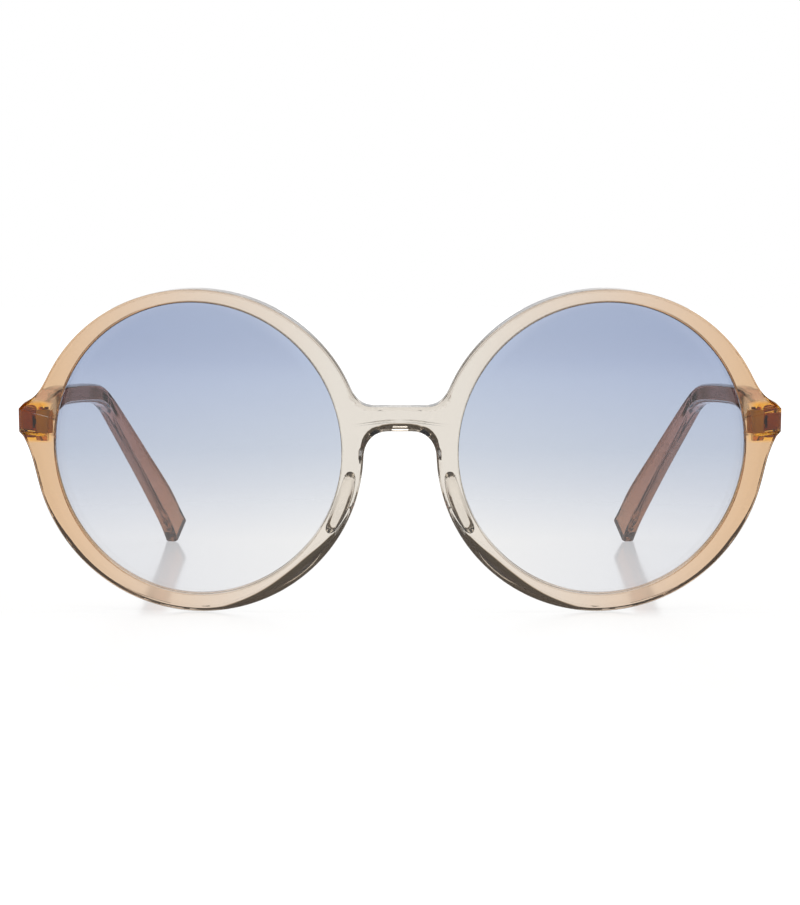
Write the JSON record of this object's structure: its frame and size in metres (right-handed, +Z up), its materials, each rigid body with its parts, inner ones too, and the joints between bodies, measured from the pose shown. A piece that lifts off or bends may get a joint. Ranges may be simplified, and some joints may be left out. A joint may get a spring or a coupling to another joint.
{
  "type": "sunglasses",
  "caption": "Round sunglasses: tinted lenses in a see-through acetate front, bonded nose pads, and temples that fold on barrel hinges.",
  "frame": {"origin": "on the ground, under the middle of the overall box", "axes": "+Z up, -Y the way the lenses face, +X to the right as seen from in front"},
  "size_m": [0.1456, 0.1438, 0.0613],
  "materials": {
    "front_acetate": "polished see-through acetate, peach at the sides and near colourless at the bridge",
    "temple_acetate": "polished see-through brown acetate",
    "pad_acetate": "polished near colourless acetate",
    "lens_tint": "blue tint that fades to clear at the bottom",
    "hinge_metal": "pale gold plating",
    "screw_metal": "turned, pale gold plating"
  },
  "bodies": {
    "front": {"frame_front": "front_acetate", "lens_left": "lens_tint", "lens_right": "lens_tint", "nose_pad_left": "pad_acetate", "nose_pad_right": "pad_acetate", "hinge_front_leaf_left": "hinge_metal", "hinge_front_leaf_right": "hinge_metal", "hinge_screw_left": "screw_metal", "hinge_screw_right": "screw_metal"},
    "temple_left": {"temple_left": "temple_acetate", "hinge_temple_leaf_left": "hinge_metal"},
    "temple_right": {"temple_right": "temple_acetate", "hinge_temple_leaf_right": "hinge_metal"}
  },
  "joints": [
    {"name": "temple_left_fold", "type": "hinge", "parent": "front", "child": "temple_left", "pos_m": [-0.06758, -0.05324, 0.0358], "axis": [0, 0, -1], "range_deg": [0, 84]},
    {"name": "temple_right_fold", "type": "hinge", "parent": "front", "child": "temple_right", "pos_m": [0.06758, -0.05324, 0.0358], "axis": [0, 0, 1], "range_deg": [0, 75]}
  ]
}
